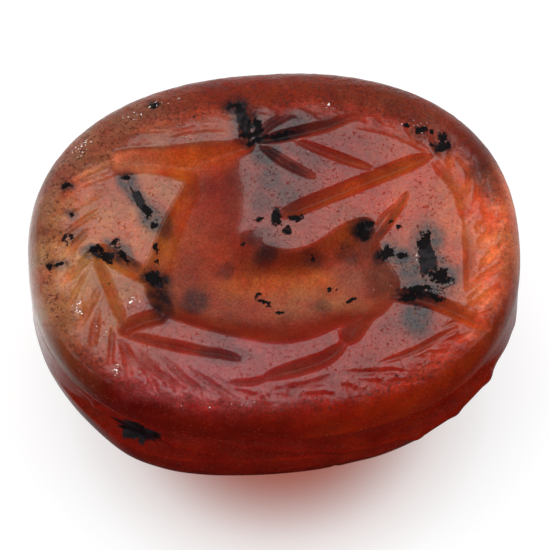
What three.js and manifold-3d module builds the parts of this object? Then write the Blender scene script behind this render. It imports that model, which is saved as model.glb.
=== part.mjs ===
// A carnelian scarab seal lying on its beetle back, with the picture face up.
// Millimetres, +Z up, +X along the length towards the beetle's head, and the
// origin on the ground under the middle of the back. The whole stone is one
// pebble: base, beetle, drill hole and sunk picture are cut in it. The black
// inclusions are another mineral, and each has its own solid in its own pocket.
import * as THREE from "three";
import { mergeVertices } from "three/addons/utils/BufferGeometryUtils.js";
import Module from "manifold-3d";

const wasm = await Module();
wasm.setup();

// Seal face and base: a flat face, a little off the middle, then a worn round
// rim down to a short wall
const faceLength = 14.4;
const faceWidth = 10.72;
const faceShiftAlong = -0.03;
const faceShiftAcross = -0.54;
const rimHeight = 1.1;
const baseLength = 15.96;
const baseWidth = 12.96;
const baseThickness = 1.45;
const grooveDepth = 0.38;
const grooveHeight = 0.2;

// The picture with its border lies a little off the face's middle
const pictureLength = 15.05;
const pictureWidth = 11.7;
const pictureShiftAlong = 0.28;
const pictureShiftAcross = -0.42;

// Beetle, cut a little inside the base's outline
const beetleInsetAlong = 0.03;
const beetleInsetAcross = 0.01;
const beetleLength = baseLength - 2 * beetleInsetAlong;
const beetleWidth = baseWidth - 2 * beetleInsetAcross;
const flankHeight = 1.75;
const flankRecess = 0.3;
const backHeight = 4.8;
const backWearDepth = 0.1;
const wingLineDepth = 0.3;
const wingLineBow = 0.7;
const legThickness = 0.5;
const legRelief = 0.22;
const foreLegThickness = 0.76;
const foreLegRelief = 0.4;

// Drill hole from end to end
const boreWidth = 1.3;
const boreMouthWidth = 1.75;
const boreMouthDepth = 1.6;
const boreDepthBelowFace = 2.85;

// Gem cutter's tools: the wheel cuts lines, the ball drill cuts bodies
const wheelWidth = 0.4;
const wheelDepth = 0.24;
const drillDepth = 0.66;
const borderLineWidth = 0.24;
const borderLineDepth = 0.16;
const hatchWidth = 0.22;
const hatchDepth = 0.15;

// Pockets of the black inclusions
const inclusionDepth = 0.55;
const inclusionClearance = 0.04;

// Cuts run on this far past a surface
const overrun = 0.6;

// Counts of facets
const outlineSteps = 72;
const rimSteps = 6;
const sectionSteps = 24;
const legAround = 4;
const legAlong = 8;
const boreAround = 20;
const ballAround = 16;
const ballDown = 10;
const rodAround = 8;
const rodCapSteps = 3;
const wheelAround = 6;
const wheelAlong = 6;
const inclusionDetail = 2;
const inclusionWaves = 5;

// Shares, which have no unit
const outlineRoundness = 2.3;
const rimRoundness = 2.2;
const sectionRoundness = 2.25;
const backSpreadShare = 0.985;
const toolRiseShare = 0.12;
const inclusionLumpShare = 0.16;
const wingLineAtShare = 0.21;
const wingLineBowSpreadShare = 0.25;
const wingLineWidthShare = 0.35;

const faceHeight = baseThickness + flankHeight + backHeight - backWearDepth;
const grooveFloor = faceHeight - baseThickness - grooveHeight;
const flankFloor = faceHeight - baseThickness - flankHeight;

/** Cosine or sine of an angle, bent so that a circle becomes a rounded oval. */
function bent(value, roundness) {
  return Math.sign(value) * Math.abs(value) ** (2 / roundness);
}

/** One level ring of the oval outline, anticlockwise seen from above. */
function ovalRing(halfLength, halfWidth, height, shiftAlong = 0, shiftAcross = 0) {
  return Array.from({ length: outlineSteps }, (_, step) => {
    const angle = (2 * Math.PI * step) / outlineSteps;
    return new THREE.Vector3(
      shiftAlong + halfLength * bent(Math.cos(angle), outlineRoundness),
      shiftAcross + halfWidth * bent(Math.sin(angle), outlineRoundness),
      height,
    );
  });
}

/** A ring of the base, at this share of the way from the flat face's edge out to the wall. */
function baseRing(share, height, inset = 0) {
  return ovalRing(
    THREE.MathUtils.lerp(faceLength, baseLength, share) / 2 - inset,
    THREE.MathUtils.lerp(faceWidth, baseWidth, share) / 2 - inset,
    height,
    (1 - share) * faceShiftAlong,
    (1 - share) * faceShiftAcross,
  );
}

/** Half the beetle's width where its outline has gone this share of its half length. */
function outlineShare(lengthShare) {
  return (1 - Math.min(1, Math.abs(lengthShare)) ** outlineRoundness) ** (1 / outlineRoundness);
}

/** Triangles of the band between two rings of equally many points. */
function bandFaces(here, there, count) {
  return Array.from({ length: count }, (_, step) => {
    const next = (step + 1) % count;
    return [here + step, here + next, there + next, here + step, there + next, there + step];
  }).flat();
}

/** Geometry from points and triangles. */
function geometryFrom(points, faces) {
  const geometry = new THREE.BufferGeometry().setFromPoints(points);
  geometry.setIndex(faces);
  return geometry;
}

/** A closed body over rings of equally many points, each end closed round its middle. */
function loft(rings) {
  const count = rings[0].length;
  const points = rings.flat();
  const faces = rings.slice(1).flatMap((_, ring) => bandFaces(ring * count, (ring + 1) * count, count));
  for (const [ring, first] of [[rings[0], 0], [rings.at(-1), points.length - count]]) {
    const middle = points.length;
    points.push(ring.reduce((sum, point) => sum.add(point), new THREE.Vector3()).divideScalar(count));
    for (let step = 0; step < count; step += 1) {
      const next = first + ((step + 1) % count);
      faces.push(middle, ...(first === 0 ? [next, first + step] : [first + step, next]));
    }
  }
  return geometryFrom(points, faces);
}

/** A closed endless band over rings, as a groove that runs round the face. */
function endlessLoft(rings) {
  const count = rings[0].length;
  const faces = rings.flatMap((_, ring) =>
    bandFaces(ring * count, ((ring + 1) % rings.length) * count, count));
  return geometryFrom(rings.flat(), faces);
}

/** A solid for joins and cuts from a closed geometry. */
function solidOf(geometry) {
  const bare = geometry.clone();
  bare.deleteAttribute("normal");
  bare.deleteAttribute("uv");
  const merged = mergeVertices(bare);
  return new wasm.Manifold(new wasm.Mesh({
    numProp: 3,
    vertProperties: Float32Array.from(merged.attributes.position.array),
    triVerts: Uint32Array.from(merged.index.array),
  }));
}

/** A named mesh from a solid. */
function meshOf(solid, name, material) {
  const result = solid.getMesh();
  const geometry = new THREE.BufferGeometry();
  geometry.setAttribute("position", new THREE.BufferAttribute(result.vertProperties, 3));
  geometry.setIndex(new THREE.BufferAttribute(result.triVerts, 1));
  geometry.computeVertexNormals();
  const mesh = new THREE.Mesh(geometry, material);
  mesh.name = name;
  return mesh;
}

/** The oval base: a flat face, a worn round rim and a short wall over the groove. */
function sealBase() {
  const wall = [
    baseRing(1, grooveFloor, grooveDepth),
    baseRing(1, grooveFloor + grooveHeight / 2, grooveDepth),
    baseRing(1, grooveFloor + grooveHeight),
  ];
  const rim = Array.from({ length: rimSteps + 1 }, (_, step) => {
    const turn = (Math.PI / 2) * (1 - step / rimSteps);
    const drop = rimHeight * (1 - bent(Math.cos(turn), rimRoundness));
    return baseRing(bent(Math.sin(turn), rimRoundness), faceHeight - drop);
  });
  return solidOf(loft([...wall, ...rim]));
}

/** The band of the flank between base and back, where the legs lie. */
function flankBand() {
  return solidOf(loft([
    baseRing(1, flankFloor - grooveHeight, grooveDepth),
    baseRing(1, flankFloor, flankRecess),
    baseRing(1, grooveFloor - grooveHeight / 2, flankRecess),
    baseRing(1, grooveFloor + grooveHeight / 2, grooveDepth),
  ]));
}

// Cross-sections of the back from the tail to the head's front edge: place along
// the half length, breadth of the half width and height of the full height
const backSectionShares = [
  [-0.985, 0.2, 0.16], [-0.955, 0.36, 0.31], [-0.885, 0.53, 0.48], [-0.785, 0.695, 0.64],
  [-0.65, 0.855, 0.8], [-0.5, 0.94, 0.905], [-0.35, 0.98, 0.965], [-0.2, 0.995, 0.995],
  [-0.05, 1, 1], [0.1, 0.995, 0.985], [0.19, 0.985, 0.96], [0.21, 0.955, 0.92],
  [0.23, 0.98, 0.955], [0.28, 0.97, 0.94], [0.4, 0.945, 0.88], [0.54, 0.885, 0.77],
  [0.64, 0.81, 0.66], [0.685, 0.75, 0.59], [0.7, 0.6, 0.49], [0.72, 0.62, 0.51],
  [0.83, 0.52, 0.38], [0.85, 0.47, 0.31], [0.87, 0.49, 0.33], [0.96, 0.35, 0.21], [0.985, 0.24, 0.11],
];

/** The steps round a section, with a narrow dip at its middle for the line between the wing cases. */
function sectionPlaces() {
  const middle = sectionSteps / 2;
  return Array.from({ length: sectionSteps + 1 }, (_, step) => step).flatMap((step) => {
    const dip = [step - wingLineWidthShare, step, step + wingLineWidthShare];
    return step === middle ? dip : [step];
  });
}

/** The domed back with its head, neck shield and wing cases, and its worn resting spot. */
function beetleBack() {
  const rings = backSectionShares.map(([along, broad, tall]) => {
    const bow = wingLineBow * Math.exp(-(((along - wingLineAtShare) / wingLineBowSpreadShare) ** 2));
    return sectionPlaces().map((step) => {
      const angle = Math.PI * (1 + step / sectionSteps);
      const sink = step === sectionSteps / 2 && along < wingLineAtShare ? wingLineDepth : 0;
      const height = (tall * backHeight - sink) * bent(Math.sin(angle), sectionRoundness);
      const aside = broad * backSpreadShare * bent(Math.cos(angle), sectionRoundness);
      return new THREE.Vector3(
        (along * beetleLength) / 2 - bow * Math.sin(angle) ** 2,
        (aside * beetleWidth) / 2,
        flankFloor + height,
      );
    });
  });
  const worn = new THREE.BoxGeometry(beetleLength, beetleWidth, overrun);
  worn.translate(0, 0, -overrun / 2);
  return solidOf(loft(rings)).subtract(solidOf(worn));
}

// Legs on one flank, as points along the half length, down the flank's height
// and out to the outline
const legShares = [
  {
    thickness: foreLegThickness,
    relief: foreLegRelief,
    places: [
      [0.42, 1, 0.93], [0.54, 0.98, 1], [0.7, 0.9, 1], [0.84, 0.78, 1], [0.92, 0.68, 0.85], [0.9, 0.62, 0.3],
    ],
  },
  {
    thickness: legThickness,
    relief: legRelief,
    places: [[0.34, 1, 0.93], [0.24, 0.84, 1], [0.04, 0.56, 1], [-0.18, 0.36, 1], [-0.32, 0.3, 0.93]],
  },
  {
    thickness: legThickness,
    relief: legRelief,
    places: [[-0.05, 1, 0.93], [-0.2, 0.88, 1], [-0.46, 0.62, 1], [-0.78, 0.42, 1], [-0.9, 0.4, 0.9]],
  },
];

/** One leg in relief along the flank, its ends run into the stone; side is 1 or -1. */
function leg({ thickness, relief, places }, side) {
  const sink = thickness / 2 + flankRecess - relief;
  const points = places.map(([along, down, out]) => new THREE.Vector3(
    along * (beetleLength / 2 - sink),
    side * out * outlineShare(along) * (beetleWidth / 2 - sink),
    grooveFloor - down * flankHeight,
  ));
  const section = new THREE.Shape();
  section.absellipse(0, 0, thickness / 2, thickness / 2, 0, 2 * Math.PI);
  return solidOf(new THREE.ExtrudeGeometry(section, {
    curveSegments: legAround,
    steps: legAlong,
    extrudePath: new THREE.CatmullRomCurve3(points),
  }));
}

/** The hole for a wire, drilled from both ends, with wider worn mouths. */
function bore() {
  const half = beetleLength / 2 + overrun;
  const throat = beetleLength / 2 - boreMouthDepth;
  const profile = [[0, -half], [boreMouthWidth / 2, -half], [boreWidth / 2, -throat],
    [boreWidth / 2, throat], [boreMouthWidth / 2, half], [0, half]];
  const geometry = new THREE.LatheGeometry(profile.map(([x, y]) => new THREE.Vector2(x, y)), boreAround);
  geometry.rotateZ(Math.PI / 2);
  geometry.translate(0, 0, faceHeight - boreDepthBelowFace);
  return solidOf(geometry);
}

/** A place on the face from its shares of half the picture's length and width. */
function onFace([lengthShare, widthShare]) {
  return new THREE.Vector3(
    pictureShiftAlong + (lengthShare * pictureLength) / 2,
    pictureShiftAcross + (widthShare * pictureWidth) / 2,
    faceHeight,
  );
}

/** A ball drill's hollow, longer than wide and turned in the face. */
function ballCut({ at, halfLength, halfWidth, turn, depth }) {
  const geometry = new THREE.SphereGeometry(1, ballAround, ballDown);
  geometry.scale(halfLength, halfWidth, depth * (1 + toolRiseShare));
  geometry.rotateZ(turn);
  const place = onFace(at);
  geometry.translate(place.x, place.y, place.z + depth * toolRiseShare);
  return solidOf(geometry);
}

/** A round-ended channel between two places on the face. */
function rodCut({ from, to, width, depth }) {
  const start = onFace(from);
  const way = onFace(to).sub(start);
  const geometry = new THREE.CapsuleGeometry(width / 2, way.length(), rodCapSteps, rodAround);
  geometry.rotateZ(Math.PI / 2);
  geometry.scale(1, 1, (depth * (1 + toolRiseShare)) / (width / 2));
  geometry.rotateZ(Math.atan2(way.y, way.x));
  const middle = start.addScaledVector(way, 1 / 2);
  geometry.translate(middle.x, middle.y, middle.z + depth * toolRiseShare);
  return solidOf(geometry);
}

/** A wheel's cut, pointed at both ends. */
function wheelCut({ from, to, width, depth }) {
  const start = onFace(from);
  const way = onFace(to).sub(start);
  const geometry = new THREE.SphereGeometry(1, wheelAround, wheelAlong);
  geometry.rotateZ(Math.PI / 2);
  geometry.scale(way.length() / 2, width / 2, depth * (1 + toolRiseShare));
  geometry.rotateZ(Math.atan2(way.y, way.x));
  const middle = start.addScaledVector(way, 1 / 2);
  geometry.translate(middle.x, middle.y, middle.z + depth * toolRiseShare);
  return solidOf(geometry);
}

// The stag's masses: place, half length and half width as shares of half the
// picture's size, turn in degrees and depth as a share of the drill's
const stagMassShares = [
  { part: "chest", at: [-0.4, -0.18], size: [0.2, 0.34], turn: 8, deep: 0.95 },
  { part: "belly", at: [-0.07, -0.26], size: [0.37, 0.31], turn: 2, deep: 0.9 },
  { part: "rump", at: [0.28, -0.14], size: [0.24, 0.32], turn: -10, deep: 1 },
  { part: "neck", at: [-0.36, 0.25], size: [0.17, 0.42], turn: 0, deep: 0.7 },
  { part: "cheek", at: [-0.42, 0.58], size: [0.17, 0.13], turn: 4, deep: 0.55 },
];

// The stag's limbs and the spear: ends as shares of half the picture, width and
// depth as shares of the wheel's
const stagRodShares = [
  { part: "muzzle", from: [-0.66, 0.62], to: [-0.45, 0.59], wide: 1.8, deep: 1.3 },
  { part: "forehead", from: [-0.42, 0.62], to: [-0.13, 0.69], wide: 1.1, deep: 1.1 },
  { part: "near forearm", from: [-0.56, -0.11], to: [-0.78, 0.05], wide: 1.5, deep: 1.3 },
  { part: "near shank", from: [-0.79, 0], to: [-0.72, -0.37], wide: 0.7, deep: 0.8 },
  { part: "far forearm", from: [-0.48, -0.36], to: [-0.72, -0.44], wide: 1.4, deep: 1.2 },
  { part: "far shank", from: [-0.73, -0.46], to: [-0.24, -0.66], wide: 1.1, deep: 0.9 },
  { part: "near thigh", from: [0.42, -0.4], to: [0.29, -0.59], wide: 1.6, deep: 1.2 },
  { part: "near hock", from: [0.26, -0.62], to: [0.08, -0.72], wide: 1.3, deep: 1 },
  { part: "near hoof", from: [0.08, -0.74], to: [-0.07, -0.78], wide: 0.9, deep: 0.8 },
  { part: "far shank behind", from: [0.48, -0.32], to: [0.84, -0.55], wide: 1, deep: 1 },
  { part: "tail", from: [0.4, 0], to: [0.53, 0.26], wide: 0.8, deep: 0.9 },
  { part: "spear", from: [0.04, 0.24], to: [0.65, 0.54], wide: 1.1, deep: 1 },
];

// Antlers and other pointed cuts, written in the same way
const antlerShares = [
  { from: [-0.11, 0.66], to: [0.13, 0.69], wide: 1.1, deep: 1 },
  { from: [0.06, 0.66], to: [0.43, 0.81], wide: 1, deep: 1 },
  { from: [-0.08, 0.66], to: [0.17, 0.4], wide: 1.2, deep: 1 },
  { from: [0.08, 0.68], to: [0.41, 0.44], wide: 1, deep: 1 },
  { from: [-0.11, 0.65], to: [0.05, 0.88], wide: 0.9, deep: 0.9 },
];

const borderLineShares = [0.8, 0.945];
const hatchCount = 42;
const hatchLean = 0.055;

/** A line cut round the face, at a share of the picture's size. */
function borderLine(share) {
  const section = [[0, -1], [1, 0], [0, 1], [-1, 0]];
  const ring = ovalRing((share * pictureLength) / 2, (share * pictureWidth) / 2, 0);
  const middle = onFace([0, 0]);
  const geometry = endlessLoft(ring.map((point) => {
    const inward = point.clone().normalize().negate();
    return section.map(([side, up]) => point.clone()
      .addScaledVector(inward, (side * borderLineWidth) / 2)
      .setZ(up * borderLineDepth));
  }));
  geometry.translate(middle.x, middle.y, middle.z);
  return solidOf(geometry);
}

/** The slanting strokes between the two border lines. */
function borderHatch() {
  const [inner, outer] = borderLineShares;
  return Array.from({ length: hatchCount }, (_, stroke) => {
    const angle = (2 * Math.PI * stroke) / hatchCount;
    const place = (share, turned) => [
      share * bent(Math.cos(turned), outlineRoundness),
      share * bent(Math.sin(turned), outlineRoundness),
    ];
    return wheelCut({
      from: place(inner, angle - hatchLean),
      to: place(outer, angle + hatchLean),
      width: hatchWidth,
      depth: hatchDepth,
    });
  });
}

/** Every cut of the sunk picture. */
function pictureCuts() {
  const masses = stagMassShares.map(({ at, size, turn, deep }) => ballCut({
    at,
    halfLength: (size[0] * pictureLength) / 2,
    halfWidth: (size[1] * pictureWidth) / 2,
    turn: THREE.MathUtils.degToRad(turn),
    depth: deep * drillDepth,
  }));
  const wheelSize = ({ from, to, wide, deep }) =>
    ({ from, to, width: wide * wheelWidth, depth: deep * wheelDepth });
  return [
    ...masses,
    ...stagRodShares.map((stroke) => rodCut(wheelSize(stroke))),
    ...antlerShares.map((stroke) => wheelCut(wheelSize(stroke))),
    ...borderLineShares.map(borderLine),
    ...borderHatch(),
  ];
}

// Black inclusions in the face: place and half sizes as shares of half the picture,
// and turn in degrees
const inclusionShares = [
  { name: "antler_inclusion", at: [-0.12, 0.82], size: [0.05, 0.13], turn: 19 },
  { name: "neck_inclusion", at: [-0.6, 0.35], size: [0.035, 0.15], turn: 26 },
  { name: "knee_inclusion", at: [-0.77, 0.05], size: [0.09, 0.035], turn: -10 },
  { name: "chest_inclusion", at: [-0.56, -0.11], size: [0.05, 0.09], turn: 0 },
  { name: "spear_inclusion", at: [-0.02, 0.22], size: [0.032, 0.06], turn: -20 },
  { name: "rump_inclusion", at: [0.36, 0.12], size: [0.045, 0.055], turn: 0 },
  { name: "rear_inclusion", at: [0.61, -0.11], size: [0.07, 0.14], turn: -8 },
  { name: "rim_inclusion", at: [0.72, 0.58], size: [0.035, 0.05], turn: 0 },
];
const sideInclusion = { atShare: -0.626, halfLength: 0.7, halfHeight: 0.4 };

/** The blob that an inclusion fills, larger all round by the clearance for its pocket. */
function inclusionBlob(place, halfSizes, turn, clearance) {
  const geometry = new THREE.IcosahedronGeometry(1, inclusionDetail);
  const places = geometry.attributes.position;
  const point = new THREE.Vector3();
  for (let corner = 0; corner < places.count; corner += 1) {
    point.fromBufferAttribute(places, corner);
    const lump = Math.sin(inclusionWaves * point.x + point.z) * Math.cos(inclusionWaves * point.y);
    point.multiplyScalar(1 + inclusionLumpShare * lump);
    places.setXYZ(corner, point.x, point.y, point.z);
  }
  geometry.scale(...halfSizes.map((size) => size + clearance));
  geometry.rotateZ(turn);
  geometry.translate(place.x, place.y, place.z);
  return solidOf(geometry);
}

/** Every inclusion as a function of the clearance round it. */
function inclusions() {
  const inFace = inclusionShares.map(({ name, at, size, turn }) => [name, (clearance) => inclusionBlob(
    onFace(at),
    [(size[0] * pictureLength) / 2, (size[1] * pictureWidth) / 2, inclusionDepth],
    THREE.MathUtils.degToRad(turn),
    clearance,
  )]);
  const { atShare, halfLength, halfHeight } = sideInclusion;
  const place = new THREE.Vector3(
    (atShare * beetleLength) / 2,
    (-outlineShare(atShare) * beetleWidth) / 2,
    grooveFloor - flankHeight / 2,
  );
  const inSide = ["side_inclusion", (clearance) => inclusionBlob(
    place,
    [halfLength, inclusionDepth, halfHeight],
    -Math.PI / 6,
    clearance,
  )];
  return [...inFace, inSide];
}

const carnelian = new THREE.MeshStandardMaterial({ color: 0xa8341c, roughness: 0.2, metalness: 0 });
const blackMineral = new THREE.MeshStandardMaterial({ color: 0x171113, roughness: 0.45, metalness: 0 });

const legs = legShares.flatMap((shape) => [leg(shape, 1), leg(shape, -1)]);
let stone = [flankBand(), beetleBack(), ...legs].reduce((whole, piece) => whole.add(piece), sealBase());
stone = [bore(), ...pictureCuts()].reduce((whole, cut) => whole.subtract(cut), stone);

const scarab = new THREE.Group();
for (const [name, blob] of inclusions()) {
  scarab.add(meshOf(stone.intersect(blob(0)), name, blackMineral));
  stone = stone.subtract(blob(inclusionClearance));
}
scarab.add(meshOf(stone, "scarab_stone", carnelian));

export default scarab;
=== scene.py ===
# A carnelian scarab seal lying on its beetle back, with the picture face up
import math

import bpy
import numpy as np
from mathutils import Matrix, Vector, noise
from mathutils.bvhtree import BVHTree


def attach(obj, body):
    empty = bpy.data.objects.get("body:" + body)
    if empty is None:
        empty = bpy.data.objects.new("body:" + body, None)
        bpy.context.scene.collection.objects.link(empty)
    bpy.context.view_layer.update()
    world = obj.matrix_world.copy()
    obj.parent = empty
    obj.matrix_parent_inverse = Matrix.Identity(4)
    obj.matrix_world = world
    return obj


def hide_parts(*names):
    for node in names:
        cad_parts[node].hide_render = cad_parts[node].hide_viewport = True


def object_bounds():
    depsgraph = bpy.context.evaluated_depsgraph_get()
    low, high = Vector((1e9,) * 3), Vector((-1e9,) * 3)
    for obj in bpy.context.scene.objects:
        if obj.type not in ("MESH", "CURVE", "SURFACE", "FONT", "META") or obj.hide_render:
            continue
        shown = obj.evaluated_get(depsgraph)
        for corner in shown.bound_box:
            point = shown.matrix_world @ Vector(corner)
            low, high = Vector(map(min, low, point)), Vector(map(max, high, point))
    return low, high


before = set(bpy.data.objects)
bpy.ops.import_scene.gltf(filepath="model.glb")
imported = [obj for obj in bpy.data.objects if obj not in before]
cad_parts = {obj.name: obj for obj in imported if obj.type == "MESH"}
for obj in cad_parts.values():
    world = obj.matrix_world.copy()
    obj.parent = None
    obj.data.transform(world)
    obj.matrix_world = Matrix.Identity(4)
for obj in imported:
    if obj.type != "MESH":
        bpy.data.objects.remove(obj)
cad_low, cad_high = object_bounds()

# One millimetre in scene units. Sizes below are in millimetres
MM = 0.001

# Seal face and base: a flat middle, a worn round rim and a short wall
FACE_HEIGHT = cad_high.z / MM
FLAT_HALF = np.array([7.2, 5.36])
FLAT_MIDDLE = np.array([-0.03, -0.54])
WALL_HALF = np.array([cad_high.x, cad_high.y]) / MM
RIM_HEIGHT = 1.1
WALL_TOP = FACE_HEIGHT - RIM_HEIGHT
POLISH_DEPTH = 0.01
FACE_WEAR = 0.012
RIM_WEAR = 0.03
WEAR_FADE = 0.3
RIM_ROUNDNESS = 2.2
BASE_THICKNESS = 1.45
GROOVE_HEIGHT = 0.2
GROOVE_DEPTH = 0.08
OUTLINE_ROUNDNESS = 2.3
PICTURE_MIDDLE = np.array([0.28, -0.42])
PICTURE_HALF = np.array([7.525, 5.85])
HATCH_COUNT = 44
HATCH_INNER = 0.82
HATCH_OUTER = 0.97
HATCH_LEAN = 0.24
HATCH_WIDTH = 0.34
HATCH_CUT = 0.04

# Beetle
BEETLE_HALF = np.array([7.95, 6.47])
FLANK_HEIGHT = 1.75
FLANK_RECESS = 0.3
END_FULLNESS = 0.28
BACK_HEIGHT = 4.8
BACK_SPREAD = 0.985
SECTION_ROUNDNESS = 2.25
WING_LINE_SHARE = 0.21
WING_LINE_BOW = 0.7
WING_LINE_WIDTH = 0.14
WING_LINE_DEPTH = 0.2
FILLET = 0.08
LEG_FILLET = 0.12
BACK_FILLET = 0.16
GROOVE_FLOOR = FACE_HEIGHT - BASE_THICKNESS - GROOVE_HEIGHT
FLANK_FLOOR = FACE_HEIGHT - BASE_THICKNESS - FLANK_HEIGHT

# Drill hole
BORE_RADIUS = 0.65
BORE_MOUTH_RADIUS = 0.875
BORE_MOUTH_DEPTH = 1.6
BORE_DEPTH = 2.85
BORE_HEIGHT = FACE_HEIGHT - BORE_DEPTH
BORE_OVERRUN = 0.3

# Cells over the face, how far they reach over the rim, and rings of the rim and the wall
FACE_CELLS = (224, 180)
GRID_REACH = 1.05
RIM_RINGS = 12
WALL_RINGS = 20
# Rings where rays from FAN_HEIGHT leave the flank and the back, and the part step to the lowest point
FLANK_RINGS = 14
BACK_RINGS = 34
FLANK_SPREAD = math.radians(14)
FAN_HEIGHT = 5.8
POLE_STEP = 0.6
BORE_RINGS = 48
BORE_AROUND = 40


# Shapes in numbers

def smooth_least(a, b, width):
    """The lesser of two distances, with a fillet of about this width."""
    blend = np.clip(0.5 + 0.5 * (b - a) / width, 0, 1)
    return b + (a - b) * blend - width * blend * (1 - blend)


def smooth_step(value, low, high):
    share = np.clip((value - low) / (high - low), 0, 1)
    return share * share * (3 - 2 * share)


def oval_share(x, y, half):
    """How far a place is from the middle, as a share of the way to the oval's edge."""
    power = OUTLINE_ROUNDNESS
    return (np.abs(x / half[0]) ** power + np.abs(y / half[1]) ** power) ** (1 / power)


def oval_gap(x, y, half):
    """Distance to an oval along the line from its middle, negative inside."""
    share = oval_share(x, y, half)
    return np.hypot(x, y) * (1 - 1 / np.maximum(share, 1e-6))


def spot_share(x, y, middle_x, middle_y, half_x, half_y, turn=0):
    """How far out a place lies in an oval turned by some degrees, 1 at its edge."""
    angle = math.radians(turn)
    dx, dy = x - middle_x, y - middle_y
    along = (math.cos(angle) * dx + math.sin(angle) * dy) / half_x
    aside = (math.cos(angle) * dy - math.sin(angle) * dx) / half_y
    return np.hypot(along, aside)


def grain(points, size, seed=0.0, octaves=3):
    """Smooth noise of about -1 to 1 with lumps of this size, at each point."""
    scaled = points / size + seed
    return np.array([noise.fractal(Vector(p), 1.0, 2.0, octaves) for p in scaled])


# The picture: places on the face in millimetres from its middle

# The stag's outline, from the muzzle along its back to the rump, belly, chest and throat
STAG_OUTLINE = [
    (-5.42, 3.6), (-5.34, 3.95), (-4.72, 4.08), (-3.59, 4.02), (-2.45, 4.1), (-1.42, 4.12), (-0.75, 4.03),
    (-0.5, 3.8), (-0.6, 3.3), (-0.2, 2.4), (-0.1, 1.4), (-0.5, 0.7), (-0.6, 0.3), (0.02, 0.04),
    (0.6, 0.06), (1.17, 0.28), (1.92, 0.77), (2.58, 1.01), (2.99, 0.88), (3.05, 0.3), (3.2, -0.4),
    (3.65, -1.33), (3.51, -1.94), (2.91, -2.6), (1.6, -2.88), (0.93, -3.16), (0.17, -3.32), (-0.64, -3.3),
    (-1.81, -2.97), (-2.92, -2.57), (-3.95, -2.1), (-4.3, -1.8), (-4.55, -1.1), (-4.54, -0.3),
    (-4.32, 0.13), (-3.97, 1), (-3.55, 1.8), (-3.06, 2.62), (-3.2, 2.75), (-3.67, 2.96), (-4.4, 3.12),
    (-5.05, 3.06), (-5.38, 3.25),
]
STAG_WALL = 0.8

# Its muscles, as soft oval hollows inside the outline: depth, middle, half sizes and turn in degrees
MUSCLES = [
    (0.3, -4.5, 3.6, 1.6, 0.95, -4), (0.36, -2.9, 3.45, 2, 1.15, 8),
    (0.48, -3.35, 1.9, 2.35, 3.4, -8), (0.6, -3.3, -0.7, 2.4, 2.8, 6),
    (0.6, -0.8, -1.55, 4.6, 2.5, 2), (0.66, 2, -0.85, 2.5, 2.8, -10),
]

STROKES = [
    # points, width, depth, how blunt the ends are
    # head, from the crown to the antlers' root
    ([(-2.6, 3.62), (-1.6, 3.72), (-0.7, 3.95)], 0.62, 0.2, 0.6),
    # antlers
    ([(-0.6, 3.98), (0.6, 4.2), (1.7, 4.42), (2.75, 4.8)], 0.44, 0.18, 0.2),
    ([(2.3, 4.6), (3.1, 4.85), (3.6, 4.75)], 0.3, 0.09, 0.2),
    ([(-0.5, 3.86), (0.38, 3.1), (1.25, 2.55)], 0.36, 0.16, 0.05),
    ([(0.6, 4), (1.86, 3.33), (3.15, 2.72)], 0.34, 0.14, 0.02),
    ([(-0.6, 4), (-0.1, 4.6), (0.7, 4.95)], 0.34, 0.12, 0.05),
    ([(-0.9, 3.9), (-0.95, 4.6), (-0.6, 5.2)], 0.36, 0.12, 0.1),
    # spear
    ([(-0.1, 1.24), (2.4, 2.15), (5.05, 3.12)], 0.56, 0.2, 0.5),
    # tail
    ([(2.75, -0.1), (3.45, 0.75), (4.2, 1.85)], 0.32, 0.14, 0.02),
    ([(2.95, 0.35), (3.3, 0.95), (3.95, 1.5)], 0.22, 0.08, 0.05),
    # near foreleg, lifted
    ([(-4.3, -0.75), (-5.25, -0.1), (-6.1, 0.5)], 0.62, 0.22, 0.6),
    ([(-6.1, 0.42), (-5.72, -0.9), (-5.25, -2.45)], 0.36, 0.14, 0.3),
    # far foreleg, bent under
    ([(-3.9, -2.05), (-4.7, -2.2), (-5.5, -2.55)], 0.58, 0.2, 0.5),
    ([(-5.55, -2.55), (-3.9, -3.1), (-1.9, -3.7)], 0.4, 0.13, 0.02),
    ([(-2.62, -3.36), (-2.1, -3.6), (-1.6, -3.8)], 0.3, 0.1, 0.05),
    # near hind leg
    ([(2.7, -2.1), (2.1, -2.9), (1.75, -3.45)], 0.8, 0.22, 0.3),
    ([(1.8, -3.4), (0.95, -4), (-0.95, -4.5)], 0.58, 0.17, 0.05),
    ([(-0.8, -4.5), (-1.35, -4.62), (-2.05, -4.6)], 0.26, 0.1, 0.2),
    # far hind leg, stretched back
    ([(3.1, -1.8), (4.6, -2.15), (6.55, -3.28)], 0.52, 0.2, 0.4),
]

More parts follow.
